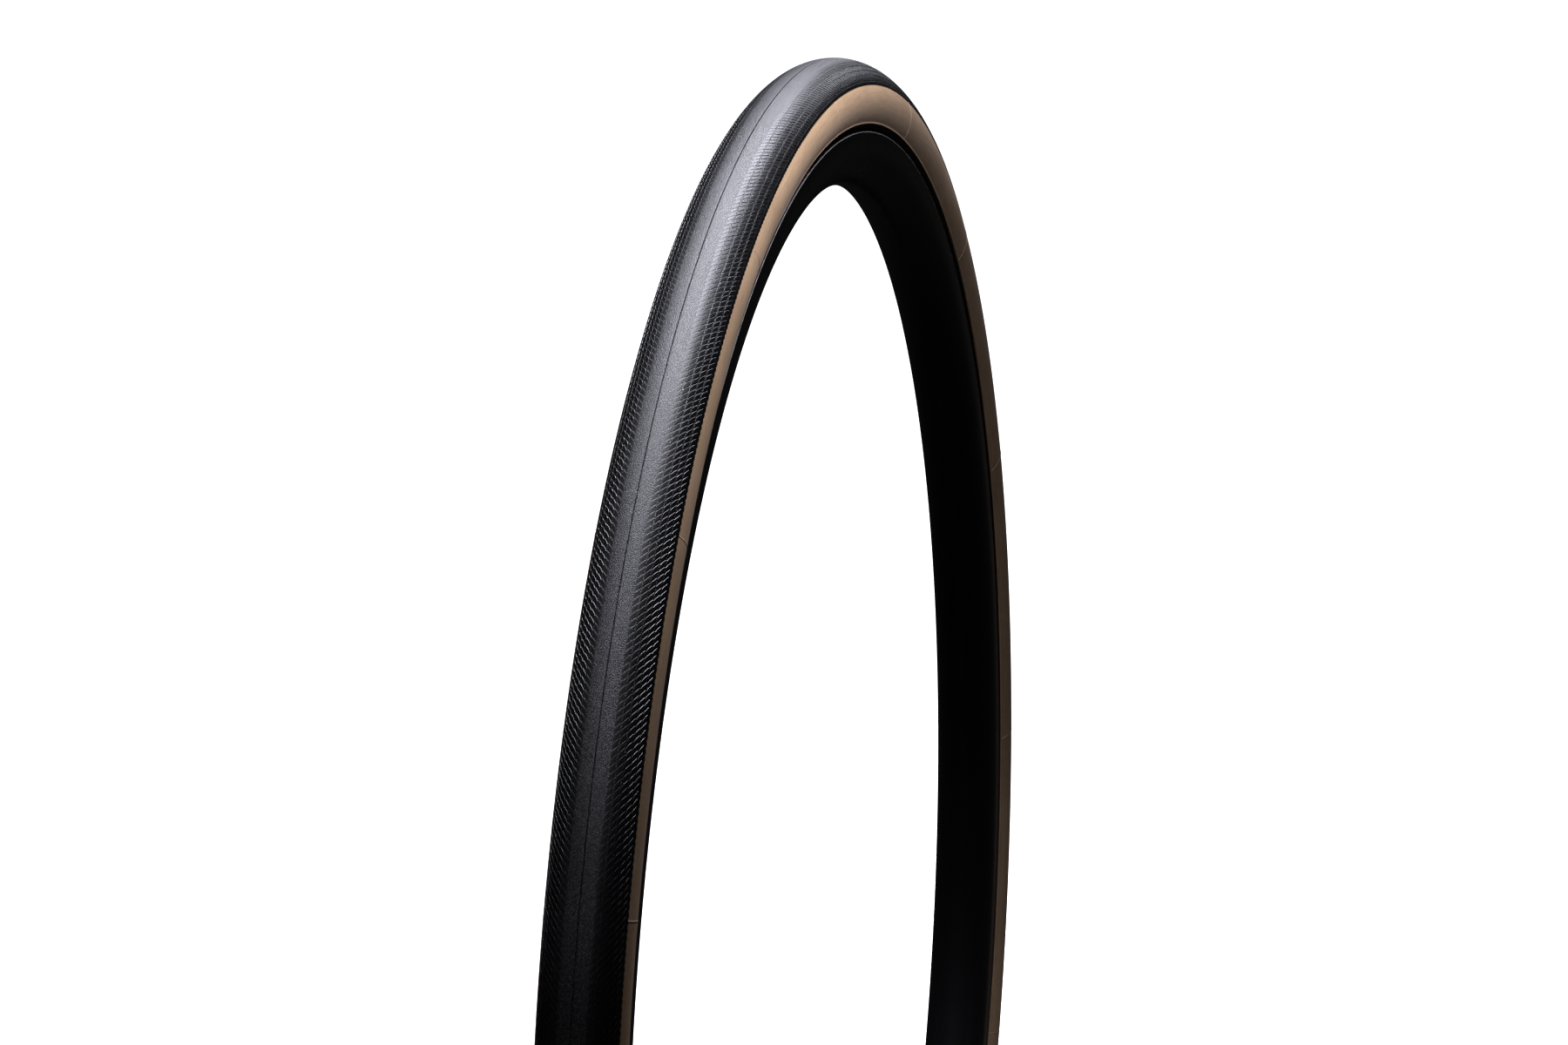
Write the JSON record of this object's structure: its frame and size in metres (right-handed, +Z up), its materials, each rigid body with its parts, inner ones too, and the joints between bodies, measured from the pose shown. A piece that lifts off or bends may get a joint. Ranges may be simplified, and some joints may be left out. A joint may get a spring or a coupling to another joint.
{
  "type": "bicycle tire",
  "caption": "Tan-wall road bicycle tire with a fine file tread on its shoulders, inflated by an inner tube on a plain rounded black rim with a slim valve.",
  "frame": {"origin": "centre of the wheel, on the axle line and midway between the two sidewalls", "axes": "+Y along the wheel's axle line, +Z up, +X along the wheel's plane; the valve is at the bottom and points up at the centre"},
  "size_m": [0.6859, 0.0306, 0.686],
  "materials": {
    "tread_rubber": "satin",
    "tan_rubber": "matte",
    "chafer_rubber": "matte",
    "tube_rubber": "satin",
    "casing_fabric": "matte",
    "belt_fabric": "matte",
    "bead_fibre": "satin",
    "valve_brass": "satin",
    "black_rim": "satin",
    "tape_plastic": "matte"
  },
  "bodies": {
    "wheel": {"tread_cap": "tread_rubber", "puncture_belt": "belt_fabric", "casing_outer_ply": "casing_fabric", "casing_inner_ply": "casing_fabric", "sidewall_left": "tan_rubber", "sidewall_right": "tan_rubber", "chafer_left": "chafer_rubber", "chafer_right": "chafer_rubber", "bead_core_left": "bead_fibre", "bead_core_right": "bead_fibre", "bead_filler_left": "chafer_rubber", "bead_filler_right": "chafer_rubber", "inner_tube": "tube_rubber", "valve_patch": "tube_rubber", "valve_stem": "valve_brass", "valve_core": "valve_brass", "rim": "black_rim", "rim_tape": "tape_plastic"},
    "pin": {"valve_pin": "valve_brass", "valve_pin_seal": "tube_rubber"},
    "pin_nut": {"valve_pin_nut": "valve_brass"},
    "lock_ring": {"valve_lock_ring": "valve_brass"}
  },
  "joints": [
    {"name": "pin_press", "type": "slide", "parent": "wheel", "child": "pin", "axis": [0, 0, -1], "range_m": [0, 0.0013], "stiffness_N_per_m": 300, "springref_m": -0.001},
    {"name": "pin_nut_travel", "type": "slide", "parent": "pin", "child": "pin_nut", "axis": [0, 0, 1], "range_m": [-0.00095, 0.0009]},
    {"name": "lock_ring_travel", "type": "slide", "parent": "wheel", "child": "lock_ring", "axis": [0, 0, 1], "range_m": [0, 0.022]}
  ]
}
